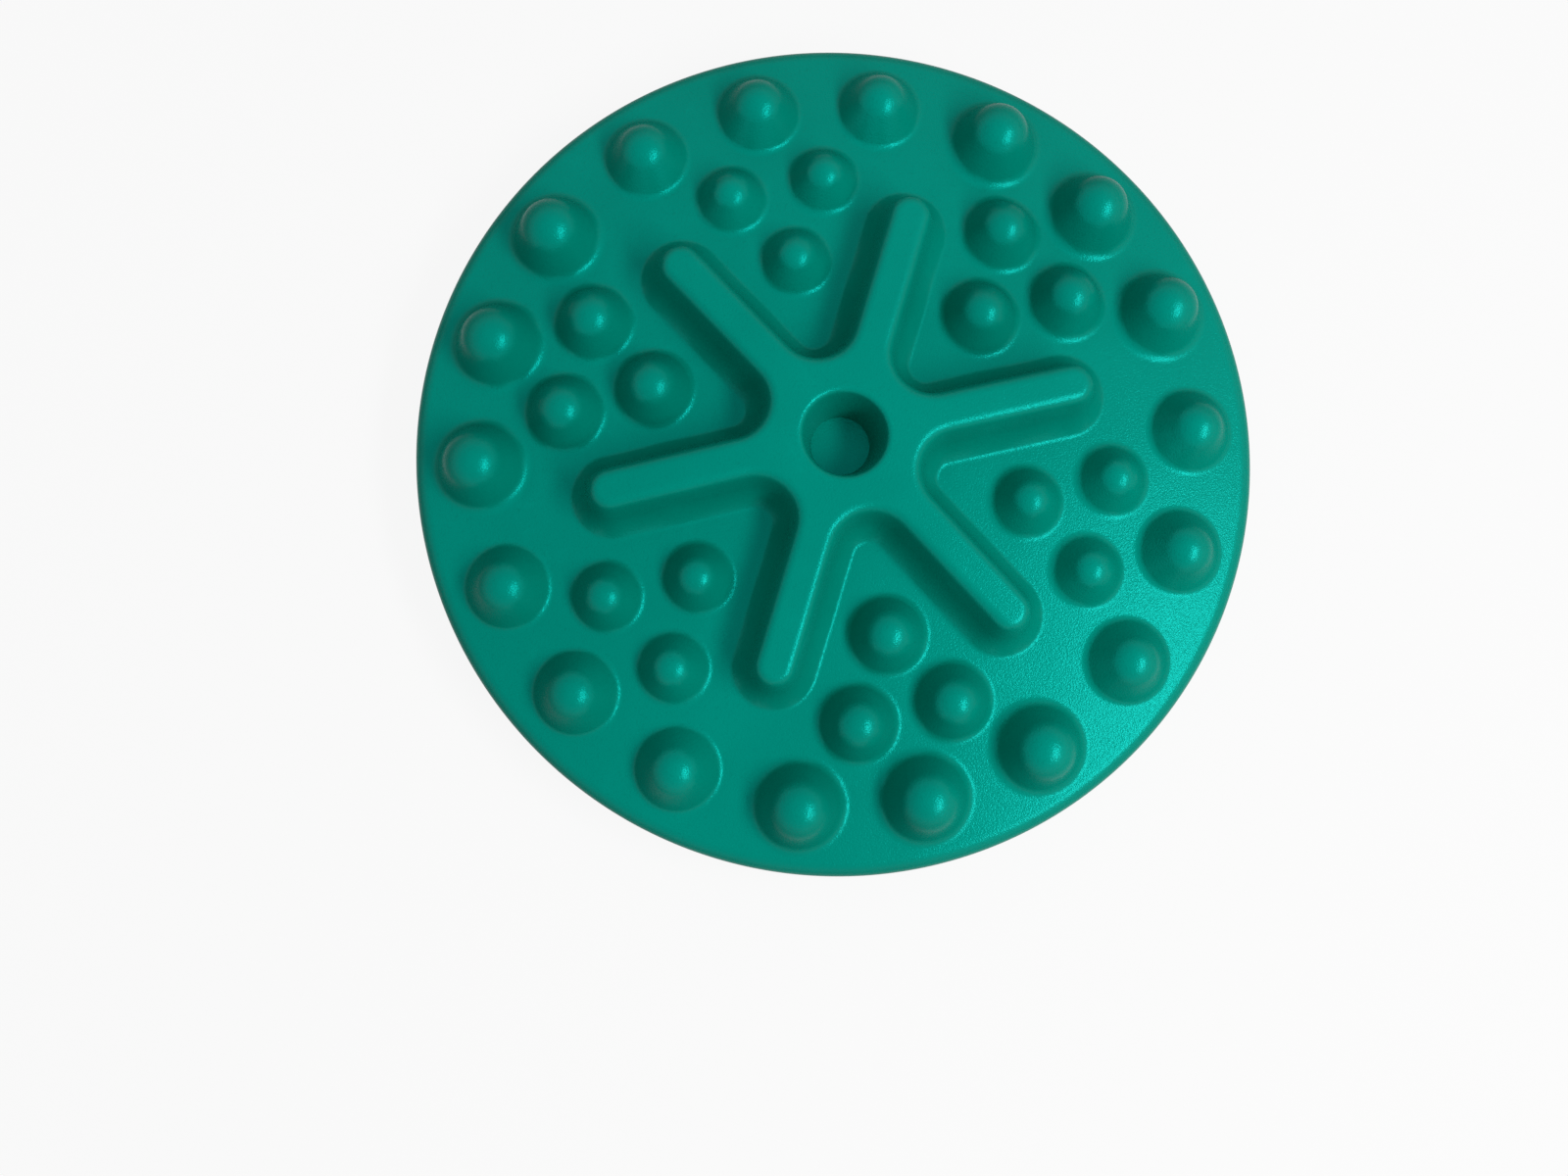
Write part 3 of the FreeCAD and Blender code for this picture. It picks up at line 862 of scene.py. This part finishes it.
def nub_tree():
    """Sets a nub out over a round field in staggered rows."""
    tree, start, end = new_tree("Nub field", [
        ("Object", "Object"), ("Material", "Material"), ("Pitch", "Float"),
        ("Field radius", "Float"), ("Field height", "Float"),
    ])
    given = start.outputs
    row_pitch = maths(tree, "MULTIPLY", given["Pitch"], math.sqrt(3) / 2)
    width = maths(tree, "MULTIPLY", given["Field radius"], 2.0)
    columns = maths(tree, "ADD", maths(tree, "FLOOR", maths(tree, "DIVIDE", width, given["Pitch"])), 1.0)
    rows = maths(tree, "ADD", maths(tree, "FLOOR", maths(tree, "DIVIDE", width, row_pitch)), 1.0)
    index = tree.nodes.new("GeometryNodeInputIndex").outputs["Index"]
    row = maths(tree, "FLOOR", maths(tree, "DIVIDE", index, columns))
    column = maths(tree, "MODULO", index, columns)
    shift = maths(tree, "MULTIPLY", maths(tree, "MODULO", row, 2.0), 0.5)
    shifted = maths(tree, "ADD", column, shift)
    from_left = maths(tree, "SUBTRACT", shifted, maths(tree, "DIVIDE", columns, 2.0))
    from_front = maths(tree, "SUBTRACT", row, maths(tree, "DIVIDE", rows, 2.0))
    place = add_node(
        tree, "ShaderNodeCombineXYZ", X=maths(tree, "MULTIPLY", from_left, given["Pitch"]),
        Y=maths(tree, "MULTIPLY", from_front, row_pitch), Z=given["Field height"],
    )
    points = add_node(
        tree, "GeometryNodePoints", Count=maths(tree, "MULTIPLY", columns, rows),
        Position=place.outputs["Vector"],
    )
    position = add_node(tree, "GeometryNodeInputPosition").outputs["Position"]
    across = add_node(tree, "ShaderNodeSeparateXYZ", Vector=position).outputs
    squares = [
        maths(tree, "POWER", value, 2.0) for value in (across["X"], across["Y"], given["Field radius"])
    ]
    outside = maths(tree, "GREATER_THAN", maths(tree, "ADD", squares[0], squares[1]), squares[2])
    trimmed = add_node(
        tree, "GeometryNodeDeleteGeometry", Geometry=points.outputs["Points"], Selection=outside
    )
    trimmed.domain = "POINT"
    end_tree(tree, start, end, trimmed.outputs["Geometry"], None)
    return tree


def nub_template(under):
    """A low round nub that hangs down from the field to the floor."""
    bm = bmesh.new()
    profile = [(under.nub_radius * out, -under.recess * down) for out, down in NUB_SHARES]
    add_turned(bm, profile, sides=12)
    return as_object(bm, "nub")


def add_underside(bm, pad, under, material):
    """The resting ring, the step up to the field, and the nubs on the field."""
    centre = side_profile(pad, 0)[0]
    ring_inner = centre[0] - under.ring_width
    step_up = rounded([
        (centre[0], 0, 0),
        (ring_inner, 0, under.recess / 2),
        (ring_inner - under.recess, under.recess, under.recess / 2),
        (ring_inner - 3 * under.recess, under.recess, 0),
    ])
    add_turned(bm, step_up, pad.sides)
    add_copies(bm, nub_tree(), nub_template(under), material, {
        "Pitch": under.nub_pitch,
        "Field radius": ring_inner - 3 * under.recess - under.nub_radius * 1.5,
        "Field height": under.recess,
    })


# Shader groups, shared by the materials
def new_group(name, inputs, outputs):
    tree = bpy.data.node_groups.new(name, "ShaderNodeTree")
    for title, default in inputs:
        kind = "NodeSocketVector" if default is None else "NodeSocketFloat"
        socket = tree.interface.new_socket(title, in_out="INPUT", socket_type=kind)
        if default is not None:
            socket.default_value = default
    for title in outputs:
        tree.interface.new_socket(title, in_out="OUTPUT", socket_type="NodeSocketFloat")
    return tree, tree.nodes.new("NodeGroupInput"), tree.nodes.new("NodeGroupOutput")


def noise(tree, vector, scale, detail=2.0, roughness=0.5):
    return add_node(
        tree, "ShaderNodeTexNoise", Vector=vector, Scale=scale, Detail=detail, Roughness=roughness
    ).outputs["Fac"]


def ramp(tree, value, low, high):
    """Spreads a value's range from low to high over 0 to 1."""
    node = tree.nodes.new("ShaderNodeMapRange")
    node.interpolation_type = "SMOOTHSTEP"
    return feed(tree, node, Value=value, From_Min=low, From_Max=high).outputs["Result"]


def grain_group():
    """Fine pebbled grain: small rounded cells with a finer noise over them."""
    tree, start, end = new_group(
        "Vinyl grain", [("Vector", None), ("Cells per metre", 2200.0), ("Noise share", 0.5)],
        ["Height", "Pits"],
    )
    place, scale, noise_share = list(start.outputs)[:3]
    cells = tree.nodes.new("ShaderNodeTexVoronoi")
    cells.feature = "SMOOTH_F1"
    distance = feed(tree, cells, Vector=place, Scale=scale).outputs["Distance"]
    fine = noise(tree, place, maths(tree, "MULTIPLY", scale, 1.7))
    domes = maths(tree, "SUBTRACT", 1.0, distance)
    height = maths(tree, "ADD", domes, maths(tree, "MULTIPLY", fine, noise_share))
    # Pits marks the hollows between the cells, where the vinyl is painted darker as shade and made
    # rougher
    feed(tree, end, Height=height, Pits=ramp(tree, distance, 0.45, 0.8))
    return tree


def unevenness_group():
    """Slow waves of a soft moulding, clouds in its colour and a thin scatter of handling marks."""
    tree, start, end = new_group(
        "Moulded unevenness", [("Vector", None), ("Waves per metre", 22.0), ("Clouds per metre", 9.0)],
        ["Waves", "Clouds", "Marks"],
    )
    place, wave_scale, cloud_scale = list(start.outputs)[:3]
    waves = noise(tree, place, wave_scale, detail=1.0)
    clouds = ramp(tree, noise(tree, place, cloud_scale, detail=4.0, roughness=0.6), 0.3, 0.7)
    marks = ramp(tree, noise(tree, place, 70.0, detail=5.0, roughness=0.65), 0.56, 0.78)
    feed(tree, end, Waves=waves, Clouds=clouds, Marks=marks)
    return tree


def group_node(tree, group, **values):
    node = tree.nodes.new("ShaderNodeGroup")
    node.node_tree = group
    return feed(tree, node, **values)


def mix_colour(tree, factor, first, second):
    node = tree.nodes.new("ShaderNodeMix")
    node.data_type = "RGBA"
    link_value(tree, node.inputs["Factor"], factor)
    link_value(tree, node.inputs[6], first)
    link_value(tree, node.inputs[7], second)
    return node.outputs[2]


def bump(tree, height, distance, strength, below=None):
    return add_node(
        tree, "ShaderNodeBump", Distance=distance, Strength=strength, Height=height, Normal=below
    ).outputs["Normal"]


def opaque(values, share=1):
    """A colour, or a paler or darker share of it, for a colour socket."""
    return (*(value * share for value in values), 1)


def vinyl_material(name, light, deep, finish):
    """Soft vinyl: clouded colour, grained satin surface, slow waves and a few rubbed marks."""
    groups, (grain, roughness, grain_depth) = shader_groups(), finish
    material = bpy.data.materials.new(name)
    material.use_nodes = True
    tree = material.node_tree
    shader = tree.nodes["Principled BSDF"]
    place = tree.nodes.new("ShaderNodeTexCoord").outputs["Object"]
    fine = group_node(tree, groups["grain"], Vector=place, Cells_per_metre=grain).outputs
    slow = group_node(tree, groups["unevenness"], Vector=place).outputs
    # Rubbed marks are paler and smoother; the pits of the grain are rougher and carry painted shade, a
    # darker share of the deep colour
    base = mix_colour(tree, slow["Clouds"], opaque(deep), opaque(light))
    seen, rough = base, []
    for spots, main, (strength, tone, change) in (
        (slow["Marks"], light, RUBBED), (fine["Pits"], deep, PIT_SHADE_AND_ROUGHNESS),
    ):
        seen = mix_colour(tree, maths(tree, "MULTIPLY", spots, strength), seen, opaque(main, tone))
        rough.append(maths(tree, "MULTIPLY", spots, change))
    rough = maths(tree, "ADD", maths(tree, "ADD", *rough), roughness)
    waves = bump(tree, slow["Waves"], distance=WAVE_DEPTH, strength=0.5)
    surface = bump(tree, fine["Height"], distance=grain_depth, strength=0.9, below=waves)
    feed(tree, shader, Base_Color=seen, Roughness=rough, Normal=surface)
    # Seen from the side, the grain mirrors less than a smooth face would
    facing = tree.nodes.new("ShaderNodeLayerWeight").outputs["Facing"]
    faded = maths(tree, "MULTIPLY", ramp(tree, facing, *LOW_ANGLE), -MIRRORING_LOSS)
    feed(tree, shader, Specular_IOR_Level=maths(tree, "ADD", faded, MIRRORING))
    shader.inputs["Specular Tint"].default_value = opaque(bpy.context.scene.pad_colours.glint)
    return material


def shader_groups():
    """The shared node groups, made once."""
    made = {group.name: group for group in bpy.data.node_groups}
    return {
        "grain": made.get("Vinyl grain") or grain_group(),
        "unevenness": made.get("Moulded unevenness") or unevenness_group(),
    }


def skin_material():
    colours = bpy.context.scene.pad_colours
    made = bpy.data.materials.get("Teal vinyl")
    return made or vinyl_material("Teal vinyl", colours.vinyl, colours.vinyl_deep, SKIN_FINISH)


def declare(piece, body, node):
    """Makes a finished piece ride on its body and stand for its node."""
    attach(piece, body)
    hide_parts(node)


# Operators
class PAD_OT_upper_skin(Operator):
    """Build the crowned top with its star, socket, knobs and shoulder"""
    bl_idname = "pad.upper_skin"
    bl_label = "Upper skin"

    def execute(self, context):
        pad, star, knobs, _, _ = sizes()
        material = skin_material()
        bm = bmesh.new()
        add_knobs(bm, pad, star, knobs, material)
        add_star(bm, pad, star, knobs)
        add_socket(bm, pad, star)
        add_upper_rim(bm, pad)
        for lift_by, spacing in ((0, PLATE_SPACING), (star.height, STAR_SPACING)):
            def lift(x, y, over=lift_by):
                return x, y, crown_height(pad, x, y) + over
            loops = loops_on(boundary_loops(bm), lambda point: point.z - lift(point.x, point.y)[2])
            fill_surface(bm, loops, seen_from_above, lift, spacing, CROWN_GUARD)
        piece = finished_mesh(bm, "upper_skin_vinyl", material)
        declare(piece, PAD_BODY, "upper_skin")
        return {"FINISHED"}


class PAD_OT_lower_skin(Operator):
    """Build the side, the pocket of the valve and the nubbed underside"""
    bl_idname = "pad.lower_skin"
    bl_label = "Lower skin"

    def execute(self, context):
        pad, _, _, under, valve = sizes()
        material = skin_material()
        bm = bmesh.new()
        groove = pad.joint_groove
        inner_floor = side_profile(pad, pad.wall)[0]
        outer_end = side_place(pad, 0, 0)
        inner_end = side_place(pad, pad.wall, pad.wall)
        add_side(bm, pad, 0, (2 * groove, outer_end), OUTER_WINDOW)
        add_side(bm, pad, pad.wall, (0, inner_end), INNER_WINDOW)
        lip = joint_lip(pad, side_point(pad, 0, 2 * groove), pad.joint_height - groove / 4)
        inner_top = side_point(pad, pad.wall, 0)
        add_turned(bm, lip + [inner_top], pad.sides)
        floor = [(inner_floor[0] * step / 6, pad.wall) for step in range(6, 0, -1)] + [(0, pad.wall)]
        add_turned(bm, floor, pad.sides)
        add_underside(bm, pad, under, material)
        add_rows(bm, pocket_rows(pad, valve, sides=64))
        bmesh.ops.remove_doubles(bm, verts=bm.verts, dist=ON_SEAM)

        loops = boundary_loops(bm)
        field = loops_on(loops, lambda point: point.z - under.recess)
        rest = [loop for loop in loops if loop not in field]
        fill_surface(
            bm, field, seen_from_above, lambda x, y: (x, y, under.recess), FIELD_SPACING, FIELD_GUARD
        )
        for inset in (0, pad.wall):
            near = loops_on(rest, lambda point: off_side(pad, inset, point))
            side_window_fill(bm, pad, inset, near)
        piece = finished_mesh(bm, "lower_skin_vinyl", material)
        declare(piece, PAD_BODY, "lower_skin")
        return {"FINISHED"}


def off_side(pad, inset, point):
    """How far outside the side's surface a point lies, with the surface set in by an inset."""
    radius = side_point(pad, inset, side_place(pad, inset, point.z))[0]
    return math.hypot(point.x, point.y) - radius


def valve_piece(name, profile, material):
    """A closed piece turned about the valve's axis from (place outwards, radius) points."""
    _, _, _, _, valve = sizes()
    bm = bmesh.new()
    rows = add_rows(bm, turned_rows([(radius, out) for out, radius in profile], VALVE_SIDES))
    if len(rows[0]) > 1:
        for here in range(len(rows[0])):
            there = (here + 1) % len(rows[0])
            bm.faces.new((rows[0][here], rows[0][there], rows[-1][there], rows[-1][here]))
    turn = Matrix.Translation((0, 0, valve.height)) @ Matrix.Rotation(math.pi / 2, 4, "X")
    bmesh.ops.transform(bm, matrix=turn, verts=bm.verts)
    return finished_mesh(bm, name, material)


class PAD_OT_valve_seat(Operator):
    """Build the soft sleeve that the stopper fits"""
    bl_idname = "pad.valve_seat"
    bl_label = "Valve sleeve"

    def execute(self, context):
        pad, _, _, _, valve = sizes()
        colours = context.scene.pad_colours
        material = vinyl_material("Sleeve vinyl", colours.valve, colours.valve, SLEEVE_FINISH)
        back = valve.pocket_floor - pad.wall
        flange_back = back - valve.flange
        small = valve.flange / 8
        profile = rounded([
            (valve.pocket_floor, (valve.bore_radius + valve.sleeve_radius) / 2, 0),
            (valve.pocket_floor, valve.sleeve_radius, small / 2),
            (back, valve.sleeve_radius, 0),
            (back, valve.flange_radius, small),
            (flange_back, valve.flange_radius, small),
            (flange_back, valve.nose_radius, small),
            (valve.seat_end, valve.nose_radius, 2 * small),
            (valve.seat_end, valve.bore_radius, small),
            (valve.pocket_floor, valve.bore_radius, small),
            (valve.pocket_floor, valve.bore_radius + small, 0),
        ])
        piece = valve_piece("valve_sleeve", profile, material)
        declare(piece, PAD_BODY, "valve_seat")
        return {"FINISHED"}


class PAD_OT_valve_stopper(Operator):
    """Build the stopper with its ribbed stem"""
    bl_idname = "pad.valve_stopper"
    bl_label = "Stopper"

    def execute(self, context):
        _, _, _, _, valve = sizes()
        colours = context.scene.pad_colours
        material = vinyl_material("Stopper plastic", colours.stopper, colours.stopper, STOPPER_FINISH)
        stem = valve.bore_radius - valve.running_gap
        neck, tip = stem * 0.84, stem * 0.66
        thick = valve.head_face - valve.pocket_floor
        dish, dish_radius = thick * 0.2, valve.head_radius * 0.6
        bevel = thick * 0.32
        corners = [
            (valve.head_face - dish, 0, 0),
            (valve.head_face - dish, dish_radius, dish / 2),
            (valve.head_face, dish_radius + dish, dish / 2),
            (valve.head_face, valve.head_radius, thick * 0.36),
            (valve.pocket_floor + bevel, valve.head_radius, thick * 0.1),
            (valve.pocket_floor, valve.head_radius - bevel, 0),
        ]
        ribs = 3
        pitch = (valve.pocket_floor - valve.stem_end) / (ribs + 0.6)
        blunt = pitch * 0.06
        for rib in range(ribs):
            top = valve.pocket_floor - rib * pitch
            corners += [
                (top, stem, 0),
                (top - pitch * 0.45, stem, blunt),
                (top - pitch * 0.6, neck, blunt),
                (top - pitch, neck, 0),
            ]
        corners += [
            (valve.pocket_floor - ribs * pitch, stem, 0),
            (valve.stem_end + pitch * 0.3, stem, pitch * 0.08),
            (valve.stem_end, tip, pitch * 0.08),
            (valve.stem_end, 0, 0),
        ]
        piece = valve_piece("valve_plug", rounded(corners), material)
        declare(piece, STOPPER_BODY, "valve_stopper")
        return {"FINISHED"}


class PAD_OT_stage(Operator):
    """Set the floor, the lamps, the world and the camera"""
    bl_idname = "pad.stage"
    bl_label = "Stage"

    def execute(self, context):
        stage = context.scene.pad_stage
        add_floor(stage)
        add_lamps(stage)
        add_world(stage)
        add_camera(stage)
        context.scene.view_settings.view_transform = "Standard"
        return {"FINISHED"}


def seen_rays(tree, direct, mirrored):
    """How much of a shader's own white is seen directly, and in reflections and transmissions."""
    path = tree.nodes.new("ShaderNodeLightPath").outputs
    indirect = maths(tree, "MAXIMUM", path["Is Glossy Ray"], path["Is Transmission Ray"])
    straight = maths(tree, "MULTIPLY", path["Is Camera Ray"], direct)
    return maths(tree, "MAXIMUM", straight, maths(tree, "MULTIPLY", indirect, mirrored))


def with_white(tree, end, lit, white, direct, mirrored):
    """Lights the scene by one shader, and shows its own white to the camera and in reflections."""
    mix = tree.nodes.new("ShaderNodeMixShader")
    tree.links.new(seen_rays(tree, direct, mirrored), mix.inputs["Fac"])
    tree.links.new(lit, mix.inputs[1])
    tree.links.new(white, mix.inputs[2])
    tree.links.new(mix.outputs["Shader"], tree.nodes[end].inputs["Surface"])


def set_up(name, data, place, axes):
    """Puts a lamp or camera at a place, with its own axes along the ones given."""
    holder = bpy.data.objects.new(name, data)
    holder.matrix_world = Matrix.Translation(place) @ Matrix(axes).transposed().to_4x4()
    bpy.context.scene.collection.objects.link(holder)
    return holder


def add_floor(stage):
    half = stage.floor_width / 2
    mesh = bpy.data.meshes.new("floor")
    corners = [(-half, -half, 0), (half, -half, 0), (half, half, 0), (-half, half, 0)]
    mesh.from_pydata(corners, [], [(0, 1, 2, 3)])
    floor = bpy.data.objects.new("floor", mesh)
    bpy.context.scene.collection.objects.link(floor)
    material = bpy.data.materials.new("Floor")
    material.use_nodes = True
    tree = material.node_tree
    shader = tree.nodes["Principled BSDF"]
    shader.inputs["Base Color"].default_value = opaque(bpy.context.scene.pad_colours.floor)
    shader.inputs["Roughness"].default_value = 0.8
    glow = tree.nodes.new("ShaderNodeEmission")
    glow.inputs["Color"].default_value = (1, 1, 1, 1)
    white = glow.outputs["Emission"]
    with_white(tree, "Material Output", shader.outputs["BSDF"], white, direct=0.9, mirrored=0.9)
    mesh.materials.append(material)


def add_lamp(name, place, width, height, power, bearing):
    """A soft box that faces the pad, with its length along a bearing."""
    lamp = bpy.data.lights.new(name, "AREA")
    lamp.shape = "RECTANGLE"
    lamp.size = width
    lamp.size_y = height
    lamp.energy = power
    away = place.normalized()
    across = Vector((*polar(1, bearing), 0)).cross(away).normalized()
    set_up(name, lamp, place, (across, away.cross(across), away))


def add_lamps(stage):
    """A long soft box on the picture's lower right, and a wide light overhead."""
    level, rise = polar(1, stage.key_elevation)
    place = Vector((*polar(level, stage.key_bearing), rise)) * stage.key_distance
    add_lamp("key", place, stage.key_width, stage.key_length, stage.key_power, stage.camera_up)
    overhead = Vector((0, 0, stage.top_height))
    add_lamp("overhead", overhead, stage.top_size, stage.top_size, stage.top_power, stage.camera_up)


def add_world(stage):
    world = bpy.data.worlds.new("studio")
    world.use_nodes = True
    tree = world.node_tree
    soft = tree.nodes["Background"]
    soft.inputs["Color"].default_value = (1, 1, 1, 1)
    soft.inputs["Strength"].default_value = stage.world_light
    bright = tree.nodes.new("ShaderNodeBackground")
    bright.inputs["Color"].default_value = (1, 1, 1, 1)
    lit, white = soft.outputs["Background"], bright.outputs["Background"]
    with_white(tree, "World Output", lit, white, direct=1.0, mirrored=1.0)
    bpy.context.scene.world = world


def add_camera(stage):
    lens = bpy.data.cameras.new("camera")
    lens.lens = stage.lens
    lens.clip_start = 0.01
    place = Vector(stage.camera_place)
    back = (place - Vector(stage.camera_aim)).normalized()
    right = Vector((*polar(1, stage.camera_up), 0)).cross(back).normalized()
    bpy.context.scene.camera = set_up("camera", lens, place, (right, back.cross(right), back))


class PAD_PT_panel(Panel):
    """Lists the sizes, colours and building steps of the pad"""
    bl_idname = "PAD_PT_panel"
    bl_label = "Balance pad"
    bl_space_type = "VIEW_3D"
    bl_region_type = "UI"
    bl_category = "Balance pad"

    def draw(self, context):
        layout = self.layout
        for title, name, operators in PANEL_ROWS:
            box = layout.box()
            box.label(text=title)
            settings = getattr(context.scene, name)
            for field in settings.__class__.__annotations__:
                box.prop(settings, field)
            for operator in operators:
                box.operator(operator)


PANEL_ROWS = (
    ("Pad", "pad_sizes", ("pad.upper_skin", "pad.lower_skin")),
    ("Star", "pad_star", ()),
    ("Knobs", "pad_knobs", ()),
    ("Underside", "pad_underside", ()),
    ("Valve", "pad_valve", ("pad.valve_seat", "pad.valve_stopper")),
    ("Colours", "pad_colours", ()),
    ("Stage", "pad_stage", ("pad.stage",)),
)
GROUPS = {
    "pad_sizes": PadSizes,
    "pad_star": StarSizes,
    "pad_knobs": KnobSizes,
    "pad_underside": UndersideSizes,
    "pad_valve": ValveSizes,
    "pad_colours": PadColours,
    "pad_stage": StageSettings,
}
CLASSES = (
    *GROUPS.values(), PAD_OT_upper_skin, PAD_OT_lower_skin, PAD_OT_valve_seat, PAD_OT_valve_stopper,
    PAD_OT_stage, PAD_PT_panel,
)


def register():
    for cls in CLASSES:
        bpy.utils.register_class(cls)
    for name, group in GROUPS.items():
        setattr(bpy.types.Scene, name, PointerProperty(type=group))


def unregister():
    for name in GROUPS:
        delattr(bpy.types.Scene, name)
    for cls in reversed(CLASSES):
        bpy.utils.unregister_class(cls)


def main():
    register()
    bpy.ops.pad.upper_skin()
    bpy.ops.pad.lower_skin()
    bpy.ops.pad.valve_seat()
    bpy.ops.pad.valve_stopper()
    bpy.ops.pad.stage()
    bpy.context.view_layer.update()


if __name__ == "__main__":
    main()
